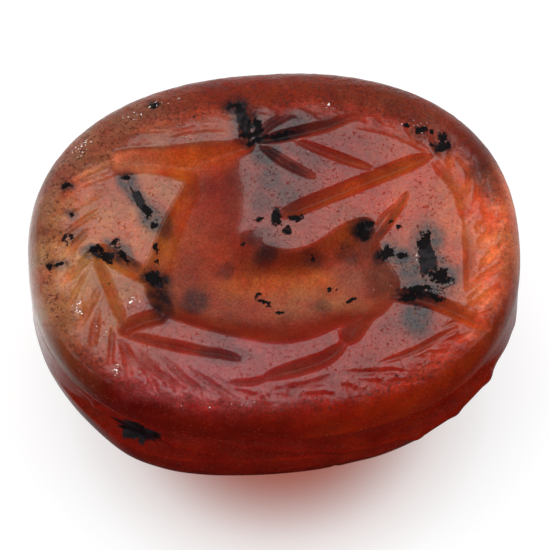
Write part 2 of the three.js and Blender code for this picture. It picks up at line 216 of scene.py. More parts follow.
BORDER_LINES = [
    # points, width, depth, and how blunt the ends are if not as usual
    ([(2.55, 4.35), (3.6, 4.1), (4.76, 3.42), (5.04, 2.95)], 0.33, 0.049, 0.3),
    ([(5.04, 2.9), (5.52, 2.32), (5.87, 1.6), (5.97, 0.6)], 0.49, 0.07, 0.3),
    ([(5.97, 0.7), (6, -0.2), (5.94, -1.2), (5.84, -2)], 0.43, 0.056, 0.2),
    ([(5.7, 3.45), (6.28, 2.48), (6.6, 1.4), (6.76, 0.4), (6.74, -0.6)], 0.43, 0.056, 0.2),
    ([(2.7, -4.26), (3.86, -3.91), (4.7, -3.5), (5.6, -3)], 0.3, 0.056),
    ([(4.2, -3.93), (4.92, -3.95), (5.55, -3.54)], 0.28, 0.049),
    ([(3.5, -4.35), (4.33, -4.48), (5.05, -4.1)], 0.3, 0.049),
    ([(3.15, -4.86), (3.6, -4.97), (4.2, -4.76)], 0.33, 0.049),
    ([(1.5, -4.45), (2.3, -4.55), (3.3, -4.5)], 0.33, 0.042),
    ([(2.3, -4.75), (2.9, -5.03), (3.3, -5.1)], 0.3, 0.042),
    ([(1.5, -4.9), (2.2, -5.18)], 0.33, 0.035),
    ([(1.8, -5.36), (2.6, -5.48)], 0.26, 0.042),
    ([(-6.95, 2.75), (-6.4, 3.2), (-5.3, 3.62)], 0.36, 0.049),
    ([(-6.3, 3.85), (-5.6, 4), (-5.2, 3.98)], 0.26, 0.042),
    ([(-5, 4.6), (-4.4, 4.72), (-3.6, 4.62)], 0.26, 0.042),
    ([(-4.8, 4.85), (-3.9, 4.9), (-3, 5.05)], 0.3, 0.035),
    ([(-3.6, 4.4), (-2.5, 4.62), (-1.4, 4.5)], 0.33, 0.042),
    ([(-1.6, 5.42), (-0.67, 5.52), (0.15, 5.28)], 0.26, 0.056),
    ([(-3.2, 5.2), (-2.2, 5.28), (-1.5, 5.05)], 0.25, 0.042),
    ([(0, 4.66), (0.5, 5.18), (1.3, 5.42)], 0.43, 0.049),
    ([(1.2, 5.45), (1.7, 5), (2.1, 4.5)], 0.46, 0.056),
    ([(1.3, 4.85), (1.9, 4.62), (2.5, 4.62)], 0.33, 0.042),
    ([(2.25, 5.32), (2.45, 4.95), (2.6, 4.65)], 0.36, 0.049),
    ([(2.8, 5.14), (3.31, 4.89), (3.72, 4.15)], 0.33, 0.056),
    ([(3.9, 4.75), (4.4, 4.3), (4.7, 3.75)], 0.3, 0.042),
    ([(5.5, 2.95), (5.9, 2.2), (6.2, 1.2)], 0.33, 0.042),
    ([(6.42, 2.65), (6.12, 2), (5.85, 1.4)], 0.33, 0.049),
    ([(7, -0.25), (6.3, -0.9)], 0.17, 0.035, 0.2),
    ([(6.7, 0.68), (6.12, 0.3)], 0.23, 0.035),
    ([(6.6, -1.4), (5.8, -2.25)], 0.3, 0.042),
    ([(6.55, -2.2), (5.9, -2.75)], 0.26, 0.035),
    ([(-6.6, 0.9), (-6.9, 0), (-6.75, -1.2)], 0.36, 0.035),
    ([(-6.1, -0.3), (-6.5, -1), (-6.35, -2.2)], 0.33, 0.035),
    ([(-5.6, -2.75), (-4.9, -3.7), (-4, -4.3)], 0.4, 0.049),
    ([(-5, -3.1), (-4.2, -4.2), (-3.2, -4.9)], 0.43, 0.049),
    ([(-4.2, -3.5), (-3.4, -4.4), (-2.6, -5)], 0.43, 0.056),
    ([(-3.5, -3.9), (-2.8, -4.5), (-1.8, -5.2)], 0.4, 0.049),
    ([(-2.6, -4.3), (-1.8, -4.9), (-0.9, -5.25)], 0.33, 0.035),
    ([(-4.4, -4.9), (-3.3, -5.35), (-2, -5.4)], 0.33, 0.035),
    ([(-0.9, -5.1), (0.2, -5.25), (1.3, -5.2)], 0.36, 0.035),
    ([(-0.6, -4.95), (0.5, -4.85), (1.4, -4.5)], 0.4, 0.042),
]


def hatch_strokes():
    """Slanting shallow strokes between the border's two lines, each a little different."""
    strokes = []
    for number in range(HATCH_COUNT):
        vary = [math.sin(k * (number + 1)) for k in (12.9, 78.2, 37.7, 54.3)]
        angle = 2 * math.pi * (number + 0.3 * vary[0]) / HATCH_COUNT
        inner, outer = HATCH_INNER + 0.02 * vary[1], HATCH_OUTER + 0.02 * vary[2]
        ends = []
        for share, lean in ((inner, 0.0), (outer, HATCH_LEAN)):
            way = np.array([math.cos(angle + lean), math.sin(angle + lean)])
            ends.append(tuple(way * share * PICTURE_HALF / oval_share(*way, (1, 1))))
        strokes.append((ends, HATCH_WIDTH + 0.1 * vary[3], HATCH_CUT + 0.02 * vary[0]))
    return strokes


def line_gap(x, y, start, way):
    """Distance to a straight piece of line, and the share of its length at the nearest place."""
    over, up = x - start[0], y - start[1]
    along = np.clip((over * way[0] + up * way[1]) / max(way @ way, 1e-12), 0, 1)
    return np.hypot(over - along * way[0], up - along * way[1]), along


def inside_gap(x, y, outline):
    """Distance to a closed outline at places inside it, zero outside."""
    line = curve_through([*outline, outline[0]], steps=4)
    gap = np.full(x.shape, 1e9)
    inside = np.zeros(x.shape, bool)
    for start, end in zip(line, line[1:]):
        way = end - start
        gap = np.minimum(gap, line_gap(x, y, start, way)[0])
        crosses = (start[1] > y) != (end[1] > y)
        level = np.divide(y - start[1], way[1], out=np.zeros(x.shape), where=crosses)
        inside ^= crosses & (x < start[0] + level * way[0])
    return np.where(inside, gap, 0)


def stag_depth(x, y):
    """Depth of the stag's body: soft muscles that end at a crisp outline."""
    depth = np.zeros(x.shape)
    for deepest, *place in MUSCLES:
        cut = deepest * np.clip(1 - spot_share(x, y, *place) ** 2, 0, None) ** 1.5
        width = np.minimum(0.3, 2 * np.minimum(depth, cut)) + 1e-6
        depth = -smooth_least(-depth, -cut, width)
    share = np.clip(inside_gap(x, y, STAG_OUTLINE) / STAG_WALL, 0, 1)
    return depth * (1 - (1 - share) ** 2)


def curve_through(points, steps=8):
    """Points of a smooth curve through a few places."""
    p = np.array([points[0], *points, points[-1]], float)
    t = np.linspace(0, 1, steps, endpoint=False)[:, None]
    pieces = []
    for a, b, c, d in zip(p, p[1:], p[2:], p[3:]):
        pieces.append(0.5 * (2 * b + (c - a) * t + (2 * a - 5 * b + 4 * c - d) * t**2
                             + (3 * b - a - 3 * c + d) * t**3))
    return np.vstack([*pieces, p[-1:]])


def stroke_depth(x, y, points, width, depth, blunt=0.1):
    """Depth of one wheel cut: deepest along its middle, thin at its ends."""
    line = curve_through(points)
    ways = np.diff(line, axis=0)
    lengths = np.hypot(*ways.T)
    starts = np.concatenate([[0], np.cumsum(lengths)])
    near = np.full(x.shape, 1e9)
    share = np.zeros(x.shape)
    for start, way, length, gone in zip(line, ways, lengths, starts):
        gap, along = line_gap(x, y, start, way)
        closer = gap < near
        near = np.where(closer, gap, near)
        share = np.where(closer, (gone + along * length) / starts[-1], share)
    middle = 4 * share * (1 - share)
    taper = np.clip(middle / max(1 - blunt, 0.02), 0, 1) ** 0.6
    half = width / 2 * (0.35 + 0.65 * taper)
    across = np.clip(1 - near / half, 0, 1)
    return depth * taper * across * (1.3 - 0.3 * across)


def picture_depth(x, y):
    """Depth of the whole sunk picture at places on the face."""
    depth = stag_depth(x, y)
    for stroke in STROKES + BORDER_LINES + hatch_strokes():
        points, margin = stroke[0], 1.5 * stroke[1]
        low, high = np.min(points, axis=0) - margin, np.max(points, axis=0) + margin
        here = (x > low[0]) & (x < high[0]) & (y > low[1]) & (y < high[1])
        cut = stroke_depth(x[here], y[here], *stroke)
        under = depth[here]
        depth[here] = np.maximum(under, cut) + 0.5 * np.minimum(under, cut)
    return depth


# The stone's body under the rim

BACK_SHARES = np.array([
    # along the half length, breadth and height
    (-1, 0.02, 0.02), (-0.985, 0.2, 0.16), (-0.955, 0.36, 0.31), (-0.885, 0.53, 0.48),
    (-0.785, 0.695, 0.64), (-0.65, 0.855, 0.8), (-0.5, 0.94, 0.905), (-0.35, 0.98, 0.965),
    (-0.2, 0.995, 0.995), (-0.05, 1, 1), (0.1, 0.995, 0.985), (0.19, 0.985, 0.965),
    (0.21, 0.978, 0.945), (0.23, 0.98, 0.955), (0.28, 0.97, 0.94), (0.4, 0.945, 0.88),
    (0.54, 0.885, 0.77), (0.63, 0.82, 0.67), (0.67, 0.76, 0.6), (0.715, 0.63, 0.51),
    (0.74, 0.61, 0.495), (0.82, 0.53, 0.39), (0.85, 0.475, 0.32), (0.88, 0.475, 0.315),
    (0.96, 0.35, 0.21), (0.985, 0.24, 0.11), (1, 0.03, 0.02),
])
BACK_CURVE = curve_through(BACK_SHARES, steps=6).T

LEG_SHARES = [
    # radius, relief, and points as shares along the half length, down the flank and out
    (0.38, 0.4, [(0.42, 1, 0.93), (0.54, 0.98, 1), (0.7, 0.9, 1),
                 (0.84, 0.78, 1), (0.92, 0.68, 0.85), (0.9, 0.62, 0.3)]),
    (0.25, 0.22, [(0.34, 1, 0.93), (0.24, 0.84, 1), (0.04, 0.56, 1),
                  (-0.18, 0.36, 1), (-0.32, 0.3, 0.93)]),
    (0.25, 0.22, [(-0.05, 1, 0.93), (-0.2, 0.88, 1), (-0.46, 0.62, 1),
                  (-0.78, 0.42, 1), (-0.9, 0.4, 0.9)]),
]


def outline_share(along):
    power = OUTLINE_ROUNDNESS
    return (1 - np.minimum(1, np.abs(along)) ** power) ** (1 / power)


def rod_gap(points, start, end, radius):
    """Distance to a round-ended rod."""
    way = end - start
    along = np.clip((points - start) @ way / (way @ way), 0, 1)
    return np.linalg.norm(points - start - along[:, None] * way, axis=1) - radius


def leg_gap(points):
    """Distance to the nearest of the six legs."""
    folded = np.column_stack([points[:, 0], np.abs(points[:, 1]), points[:, 2]])
    gap = np.full(len(points), 1e9)
    for radius, relief, places in LEG_SHARES:
        sink = radius + FLANK_RECESS - relief
        line = np.array([(along * (BEETLE_HALF[0] - sink),
                          out * outline_share(along) * (BEETLE_HALF[1] - sink),
                          GROOVE_FLOOR - down * FLANK_HEIGHT) for along, down, out in places])
        for start, end in zip(line, line[1:]):
            gap = smooth_least(gap, rod_gap(folded, start, end, radius), 0.1)
    return gap


def back_gap(x, y, z):
    """Distance to the domed back, its neck shield and head."""
    bow = np.clip(1 - (y / BEETLE_HALF[1]) ** 2, 0, 1)
    shift = WING_LINE_BOW * bow * np.exp(-(((x / BEETLE_HALF[0] - WING_LINE_SHARE) / 0.25) ** 2))
    along = (x + shift) / BEETLE_HALF[0]
    broad = np.interp(along, BACK_CURVE[0], BACK_CURVE[1], 1e-3, 1e-3) * BEETLE_HALF[1] * BACK_SPREAD
    tall = np.interp(along, BACK_CURVE[0], BACK_CURVE[2], 1e-3, 1e-3) * BACK_HEIGHT
    down = np.clip(FLANK_FLOOR - z, 0, None)
    power = SECTION_ROUNDNESS
    share = ((np.abs(y) / broad) ** power + (down / tall) ** power) ** (1 / power)
    gap = np.hypot(y, down) * (1 - 1 / np.maximum(share, 1e-6))
    seam = (along < WING_LINE_SHARE) * (down > 0.5 * BACK_HEIGHT)
    gap = gap + seam * WING_LINE_DEPTH * np.clip(1 - np.abs(y) / WING_LINE_WIDTH, 0, 1)
    gap = np.maximum(gap, np.maximum(np.abs(x) - BEETLE_HALF[0], -z))
    return np.maximum(gap, z - FLANK_FLOOR)


def body_gap(points):
    """Distance to the stone's surface below the rim, negative inside."""
    x, y, z = points.T
    wall = oval_gap(x, y, WALL_HALF)
    base = np.maximum(wall, GROOVE_FLOOR + GROOVE_HEIGHT - z)
    recess = FLANK_RECESS - END_FULLNESS * smooth_step(np.abs(x) / WALL_HALF[0], 0.75, 0.95)
    core = np.maximum(wall + recess + GROOVE_DEPTH, FLANK_FLOOR - z)
    flank = np.maximum(wall + recess, np.maximum(z - GROOVE_FLOOR, FLANK_FLOOR - z))
    gap = smooth_least(base, core, FILLET)
    gap = smooth_least(gap, flank, FILLET)
    gap = smooth_least(gap, back_gap(x, y, z), BACK_FILLET)
    return smooth_least(gap, leg_gap(points), LEG_FILLET)


def reach(origins, ways, least=0.4, most=1.25, looks=44, halvings=12):
    """The place on each ray where it leaves the stone."""
    near = np.full(len(ways), least)
    far = np.full(len(ways), most)
    found = np.zeros(len(ways), bool)
    steps = np.linspace(least, most, looks)
    for here, beyond in zip(steps, steps[1:]):
        outside = body_gap(origins + ways * beyond) > 0
        new = outside & ~found
        near[new], far[new] = here, beyond
        found |= new
    for _ in range(halvings):
        middle = (near + far) / 2
        outside = body_gap(origins + ways * middle[:, None]) > 0
        far = np.where(outside, middle, far)
        near = np.where(outside, near, middle)
    return origins + ways * ((near + far) / 2)[:, None]


def face_grid():
    """Places over the flat face on an even grid bent to the oval, and its edge in order."""
    u, v = np.meshgrid(*(np.linspace(-1, 1, cells + 1) for cells in FACE_CELLS), indexing="ij")
    x, y = u * np.sqrt(1 - v**2 / 2), v * np.sqrt(1 - u**2 / 2)
    angle = np.arctan2(y, x)
    stretch = 1 / oval_share(np.cos(angle), np.sin(angle), (1, 1))
    grow = 1 + (stretch - 1) * (x**2 + y**2)
    across, deep = FACE_CELLS
    numbers = np.arange(u.size).reshape(u.shape)
    edge = np.concatenate([numbers[across, :deep], numbers[across:0:-1, deep],
                           numbers[0, deep:0:-1], numbers[:across, 0]])
    return (x * grow).ravel(), (y * grow).ravel(), numbers, edge


def rim_drop(share):
    """How far the worn rim has fallen at this share of the way from flat to wall."""
    return RIM_HEIGHT * (1 - (1 - np.clip(share, 0, 1) ** RIM_ROUNDNESS) ** (1 / RIM_ROUNDNESS))


def rim_start(unit):
    """Share of the rim's breadth that the face's grid already covers."""
    flat = unit * FLAT_HALF
    wall = unit * WALL_HALF - FLAT_MIDDLE
    return (GRID_REACH - 1) * np.hypot(*flat.T) / np.hypot(*(wall - flat).T)


def rim_ring(unit, step):
    """One ring of the worn rim between the grid's edge, at step 0, and the wall."""
    first = np.arcsin(rim_start(unit) ** (RIM_ROUNDNESS / 2))
    turn = first + (math.pi / 2 - first) * step
    share = np.sin(turn) ** (2 / RIM_ROUNDNESS)
    along = ((share - rim_start(unit)) / (1 - rim_start(unit)))[:, None]
    flat = unit * FLAT_HALF * GRID_REACH + FLAT_MIDDLE
    wall = unit * WALL_HALF
    return np.column_stack([flat + (wall - flat) * along, FACE_HEIGHT - rim_drop(share)])


def wall_ring(unit, height):
    """Where level rays from the stone's middle leave its wall."""
    origins = np.column_stack([np.zeros((len(unit), 2)), np.full(len(unit), height)])
    return reach(origins, np.column_stack([unit * BEETLE_HALF, np.zeros(len(unit))]))


def fan_ring(unit, angle):
    """Where rays that slope down by this angle leave the flank or the back."""
    origins = np.tile([0.0, 0.0, FAN_HEIGHT], (len(unit), 1))
    down = np.full(len(unit), -FAN_HEIGHT * math.sin(angle))
    return reach(origins, np.column_stack([unit * BEETLE_HALF * math.cos(angle), down]))


def steps_to(start, end, count):
    """Even steps from a start, which is left out, to an end."""
    return np.linspace(start, end, count + 1)[1:]


def stone_rings(unit):
    """Rings below the face's grid: with all its edge's points, then with half as many."""
    back_end = FLANK_SPREAD + (math.pi / 2 - FLANK_SPREAD) * BACK_RINGS / (BACK_RINGS + POLE_STEP)
    full = [rim_ring(unit, step) for step in steps_to(0, 1, RIM_RINGS)]
    full += [wall_ring(unit, height) for height in steps_to(WALL_TOP, FAN_HEIGHT, WALL_RINGS)]
    full += [fan_ring(unit, angle) for angle in steps_to(0, FLANK_SPREAD, FLANK_RINGS)]
    halved = [fan_ring(unit[::2], angle) for angle in steps_to(FLANK_SPREAD, back_end, BACK_RINGS)]
    return full, halved


def rings_of(first, count, around):
    """The numbers of the points of rings that follow each other."""
    return list(np.arange(first, first + count * around).reshape(count, around))


def stone_surface():
    """Points and faces of the whole closed stone, before the drill hole."""
    x, y, numbers, edge = face_grid()
    share = np.maximum(oval_share(x, y, (1, 1)), 1e-6)
    beyond = np.clip((share * GRID_REACH - 1) / (GRID_REACH - 1), 0, 1)
    flat = np.column_stack([x, y])
    drop = rim_drop(beyond * rim_start(flat / share[:, None]))
    face = np.column_stack([flat * FLAT_HALF * GRID_REACH + FLAT_MIDDLE, FACE_HEIGHT - drop])
    upper_rings, back_rings = stone_rings(flat[edge])
    points = np.vstack([face, *upper_rings, *back_rings, [[0.0, 0.0, 0.0]]])

    a, b, c, d = numbers[:-1, :-1], numbers[1:, :-1], numbers[1:, 1:], numbers[:-1, 1:]
    blocks = [(a.ravel(), b.ravel(), c.ravel(), d.ravel())]
    half = len(edge) // 2
    full = [edge, *rings_of(len(face), len(upper_rings), len(edge))]
    halved = rings_of(full[-1][-1] + 1, len(back_rings), half)
    for upper, lower in [*zip(full, full[1:]), *zip(halved, halved[1:])]:
        blocks.append((upper, lower, np.roll(lower, -1), np.roll(upper, -1)))
    last, lower, bottom = full[-1], halved[0], halved[-1]
    even, odd, after = last[::2], last[1::2], np.roll(last[::2], -1)
    following = np.roll(lower, -1)
    blocks += [(even, lower, odd), (odd, lower, following), (odd, following, after),
               (bottom, np.full(half, len(points) - 1), np.roll(bottom, -1))]
    return points, [face for block in blocks for face in np.column_stack(block).tolist()]


def on_picture(points):
    return (points[:, :2] - PICTURE_MIDDLE).T


def face_share(points):
    return oval_share(*(points[:, :2] - FLAT_MIDDLE).T, FLAT_HALF)


def cut_depth(points):
    """How deep the picture is cut at each point, without the wear."""
    on_face = smooth_step(1.1 - face_share(points), 0.0, 0.08) * (points[:, 2] > WALL_TOP)
    return picture_depth(*on_picture(points)) * on_face


def carve(points):
    """Sinks the picture into the face and wears the rim."""
    carved = points.copy()
    on_top = points[:, 2] > WALL_TOP
    top = points[on_top]
    share = face_share(top)
    edge = smooth_step(share, 0.9, 1.02)
    wear = RIM_WEAR * edge * (1 + grain(top, 0.8, 3.0)) + FACE_WEAR * np.abs(grain(top, 2.5, 7.0))
    chipped = RIM_WEAR * (1 + smooth_step(-top[:, 1], 2.5, 4.5)) * smooth_step(share, 0.84, 0.96)
    wear += chipped * np.abs(grain(top, 0.45, 13.0))
    fade = smooth_step(top[:, 2], WALL_TOP, WALL_TOP + WEAR_FADE)
    carved[on_top, 2] -= fade * (cut_depth(top) + wear + POLISH_DEPTH)
    return carved


def mesh_from(name, points, faces):
    """A new smooth-shaded object from points in millimetres."""
    mesh = bpy.data.meshes.new(name)
    mesh.from_pydata((points * MM).tolist(), [], faces)
    mesh.update()
    piece = bpy.data.objects.new(name, mesh)
    bpy.context.scene.collection.objects.link(piece)
    mesh.shade_smooth()
    return piece


def vertex_places(mesh):
    places = np.empty(3 * len(mesh.vertices))
    mesh.vertices.foreach_get("co", places)
    return places.reshape(-1, 3) / MM


def tube_faces(rings, around):
    """Faces of a closed body made of rings of points that follow each other."""
    first = np.arange((rings - 1) * around).reshape(-1, around)
    turned = np.roll(first, -1, axis=1)
    sides = np.stack([first, turned, turned + around, first + around], axis=-1).reshape(-1, 4)
    ends = np.arange(around)
    return [*sides.tolist(), ends[::-1].tolist(), (ends + (rings - 1) * around).tolist()]


def drill_body():
    """The closed body that the drill hole takes away, wider at both worn mouths."""
    half = BEETLE_HALF[0] + BORE_OVERRUN
    throat = BEETLE_HALF[0] - BORE_MOUTH_DEPTH
    along = np.linspace(-half, half, BORE_RINGS)
    mouth = np.clip((np.abs(along) - throat) / BORE_MOUTH_DEPTH, 0, 1)
    radius = BORE_RADIUS + (BORE_MOUTH_RADIUS - BORE_RADIUS) * mouth
    angle = np.linspace(0, 2 * math.pi, BORE_AROUND, endpoint=False)
    points = np.stack([np.repeat(along[:, None], BORE_AROUND, 1), radius[:, None] * np.cos(angle),
                       radius[:, None] * np.sin(angle) + BORE_HEIGHT], axis=-1).reshape(-1, 3)
    return points, tube_faces(BORE_RINGS, BORE_AROUND)


def drill(stone):
    """Cuts the drill hole through the stone."""
    cutter = mesh_from("drill", *drill_body())
    change = stone.modifiers.new("drill", "BOOLEAN")
    change.object = cutter
    change.operation = "DIFFERENCE"
    change.solver = "EXACT"
    seen = stone.evaluated_get(bpy.context.evaluated_depsgraph_get())
    drilled = bpy.data.meshes.new_from_object(seen)
    stone.modifiers.clear()
    stone.data = drilled
    bpy.data.objects.remove(cutter)


def make_stone():
    points, faces = stone_surface()
    stone = mesh_from("carved_stone", carve(points), faces)
    drill(stone)
    return stone


# What the stone looks like at each place: zones, inclusions and wear

def tone(red, green, blue):
    """A colour given as seen on a screen, 0 to 255, in the renderer's linear values."""
    seen = np.array([red, green, blue]) / 255
    return np.where(seen <= 0.04045, seen / 12.92, ((seen + 0.055) / 1.055) ** 2.4)


# Soft zones of tone, without gloss: middle on the picture in mm, half sizes, and the tone as seen
FIELD_TONES = [
    (4.2, 2.2, 1.8, 1.6, 178, 62, 36), (2.6, 1.6, 1.4, 0.9, 158, 48, 20),
    (1.9, 3.2, 1.5, 1.2, 120, 12, 2), (5.2, 0.6, 1.2, 2, 190, 80, 32),
    (4.6, -1, 1.2, 1.4, 150, 62, 38), (6.4, 0.4, 0.9, 2, 206, 96, 54),
    (6.3, 3.2, 1, 1.4, 140, 44, 28), (-5.4, 1.6, 1.5, 1.6, 172, 90, 54),
    (-6.6, 0.4, 0.9, 1.2, 190, 118, 66), (-6, -1.2, 1.1, 1.3, 150, 84, 48),
    (-4.6, -2.9, 1.4, 0.8, 152, 50, 38), (-5.4, 4.4, 1.8, 1, 136, 68, 44),
    (-2.6, 4.8, 1.4, 0.5, 154, 66, 42), (0.4, 2.5, 1.2, 1.2, 132, 50, 42),
    (1.6, 4.9, 2.2, 0.8, 128, 36, 22), (4.6, 4.4, 1.4, 0.9, 142, 40, 30),
    (-2.4, -4.4, 2.2, 0.7, 150, 48, 52), (0.2, -4.6, 1.4, 0.8, 134, 28, 24),
    (1.6, -3.9, 1.8, 1.2, 142, 28, 16), (4.2, -3.8, 1.6, 1, 148, 36, 18),
    (3.4, -3, 1, 0.8, 140, 46, 36),
]
# The sunk picture's tones: the stone's colour with painted light and shade, a lighter glow in the belly's
# middle and darker bands on its upper and lower walls
HOLLOW_TONES = [
    (-4.6, 3.6, 0.9, 0.5, 188, 94, 66), (-3, 3.7, 1, 0.5, 192, 74, 16),
    (-1.8, 3.7, 0.8, 0.5, 172, 56, 16), (-3.2, 2, 0.4, 0.9, 186, 78, 8),
    (-3.7, 0.8, 0.35, 0.7, 186, 84, 12), (-2.4, 1.8, 0.8, 1.1, 134, 34, 16),
    (-1.4, 2.2, 0.7, 1.3, 126, 44, 32), (-2.6, 0.2, 1, 0.7, 152, 50, 26),
    (-3.2, -1, 1, 1, 124, 40, 22), (-0.2, -0.3, 1.6, 0.4, 116, 34, 6),
    (0, -1, 2, 0.4, 190, 86, 22), (0.4, -1.7, 1.6, 0.5, 156, 84, 50),
    (-1.6, -1.7, 1.2, 0.6, 138, 52, 30), (-1.2, -2.7, 2.4, 0.5, 124, 28, 10),
    (1.4, -2.5, 1.4, 0.5, 120, 28, 12), (2.2, 0.4, 0.8, 0.6, 148, 52, 10),
    (2.4, -0.9, 0.9, 0.8, 160, 68, 50), (-4.8, -0.6, 0.8, 0.8, 172, 86, 34),
    (3.8, 2.6, 1.6, 0.6, 168, 62, 18), (1, 3.6, 1.4, 0.9, 128, 36, 24),
    (5.2, -2.6, 1, 0.6, 164, 58, 18), (0.2, -4.2, 2.4, 0.6, 128, 34, 22),
    (-4, -3, 1.8, 0.6, 138, 34, 18),
]
RIM_TONES = [
    (-0.5, 6.2, 3, 1, 124, 32, 4), (-5, 5.2, 1.6, 1, 142, 80, 58),
    (-7.4, 2.6, 0.9, 1.6, 136, 82, 62), (-7.7, -0.5, 0.8, 1.6, 158, 108, 88),
    (-6.9, -3, 1, 1.2, 116, 46, 24), (-5.2, -4.6, 1.4, 1, 100, 6, 1),
    (-1.5, -6, 2.4, 1, 118, 14, 1), (2, -5.9, 2, 1, 154, 30, 0),
    (5, -4.8, 1.6, 1, 142, 34, 3), (7.2, -2.2, 0.8, 1.4, 134, 44, 20),
    (7.4, 0.8, 0.6, 1.4, 218, 112, 70), (6.6, 3.6, 1, 1.2, 120, 38, 22),
    (4.2, 5.4, 2, 0.8, 124, 44, 22),
]
DEEP_TONE = tone(132, 20, 5)

# Soft spots: strength, middle on the picture in mm, half sizes, and turn in degrees if any
# The GLINTS spots place painted glints: white dots in the colour, standing in for sparkles of light
GLINTS = [
    (1, -4.6, 5.3, 0.4, 0.22, 25), (0.8, -3.4, 5.75, 0.7, 0.2, 15), (1, -6.3, 4.25, 0.4, 0.26, 40),
    (1, -5.7, -3.9, 0.22, 0.26, -30), (0.9, -6.1, -2.5, 0.2, 0.4, 20), (0.7, -6.6, -1.6, 0.3, 0.4),
    (0.7, -5, -1.5, 0.3, 0.35), (0.6, 4.7, 4.3, 0.9, 0.3, -20), (0.8, 1.8, 5.2, 0.3, 0.2),
    (0.35, 2.9, -1.3, 1.1, 0.4, 20), (0.3, 2.6, -0.2, 0.7, 0.4, 40), (0.6, 4.4, -0.6, 0.4, 0.3),
    (0.5, -2.4, -5.3, 1.6, 0.15, -4),
]
MURK = [
    (1, -1.15, 5.3, 0.42, 0.42, -30), (1, -0.85, 4.65, 0.5, 0.75, 14), (1, -0.6, 4.1, 0.5, 0.35),
    (0.8, 0.35, 4.55, 1, 0.42, 8), (1, 0.2, 4.15, 0.9, 0.24, 12), (0.5, 1.5, 4.55, 0.8, 0.2, 12),
    (0.9, -0.3, 3.5, 0.5, 0.5, -40), (0.7, 0.5, 2.9, 0.75, 0.22, -42), (0.5, 0.9, 3.5, 0.9, 0.2, -34),
    (0.75, -0.22, 2.65, 0.42, 0.5), (0.7, 0.25, 1.97, 0.45, 0.42), (0.6, -0.57, 1.81, 0.34, 0.42),
    (0.35, -1.19, 2.75, 0.4, 0.6), (0.4, 0.75, 2.35, 0.6, 0.4), (0.3, 0.9, 3, 0.5, 0.3),
    (0.95, -4.93, 2.85, 0.34, 0.42, 28), (0.95, -4.6, 2.25, 0.3, 0.7, 26), (1, -4.2, 1.55, 0.4, 0.66, 20),
    (0.7, -3.85, 1.25, 0.3, 0.5), (1, -4.15, -0.6, 0.52, 0.4), (0.95, -4.05, -1.4, 0.42, 0.9, 4),
    (0.9, -5.45, 0.35, 0.16, 0.55, 32), (0.8, -5, 0.2, 0.2, 0.6, 30), (1, -6.15, 0.42, 0.3, 0.22),
    (0.75, -2.97, -1.41, 0.45, 0.42), (0.45, -1.92, -0.4, 0.26, 0.3), (0.8, -0.57, 0, 0.4, 0.35),
    (0.6, -0.75, 0.55, 0.5, 0.3, 10), (0.5, 0.9, -0.25, 0.3, 0.25), (0.6, 2.09, 0, 0.36, 0.36),
    (1, 2.65, 0.65, 0.42, 0.42), (1, 3.35, -0.3, 0.5, 0.42, 20), (1, 3.8, -0.5, 0.45, 0.4),
    (0.95, 4.65, 0, 0.5, 0.72, -14), (0.9, 4.75, -0.75, 0.5, 0.4), (1, 5.05, -1.3, 0.62, 0.5, -20),
    (0.95, 4.2, -1, 0.75, 0.5), (1, 4.3, -1.75, 0.95, 0.5), (0.95, 4.1, -2.65, 0.5, 0.8, 8),
    (0.55, 3.45, -1.1, 0.9, 0.8), (0.5, 3, 0.2, 0.7, 0.55), (0.3, 2.2, -1, 0.7, 0.5),
    (0.4, -2.1, -2.9, 0.5, 0.34), (0.6, -2, -3.6, 0.8, 0.34, -12), (0.6, 6.7, 2.2, 0.5, 0.9, 22),
    (0.45, 1.1, -1.85, 0.36, 0.26), (0.4, 5, 3.75, 0.7, 0.35, -20), (0.8, 5.4, 3.4, 0.4, 0.34),
    (0.5, -6.7, 1.05, 0.35, 0.3), (0.8, -6.85, 2.85, 0.25, 0.2), (0.7, -6.75, 1.8, 0.22, 0.22),
    (0.9, -3.84, 5.64, 0.22, 0.18), (0.7, -7.3, 0, 0.4, 0.2),
]

